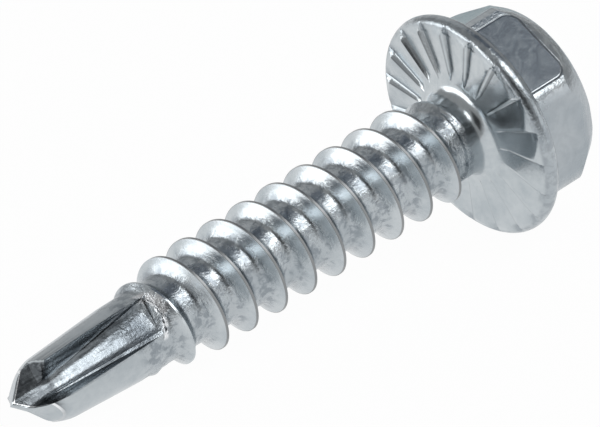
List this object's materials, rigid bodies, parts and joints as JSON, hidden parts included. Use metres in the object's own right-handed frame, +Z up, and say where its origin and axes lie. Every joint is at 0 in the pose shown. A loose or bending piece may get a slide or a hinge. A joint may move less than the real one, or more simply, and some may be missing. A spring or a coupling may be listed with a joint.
{
  "type": "self-tapping screw",
  "caption": "Self-drilling self-tapping screw with a hex washer head, a serrated flange, a coarse thread and a fluted drill point, for fixing sheet metal.",
  "frame": {"origin": "middle of the lying screw's box, on the surface that it lies on", "axes": "+Z up; +X towards the head, and -X towards the drill point; the screw's axis dips towards the point, because it rests on the flange rim and the drill point"},
  "size_m": [0.0287, 0.01, 0.0099],
  "materials": {
    "zinc_plated_steel": "bright bluish zinc plate"
  },
  "bodies": {
    "root": {"screw": "zinc_plated_steel"}
  },
  "joints": []
}
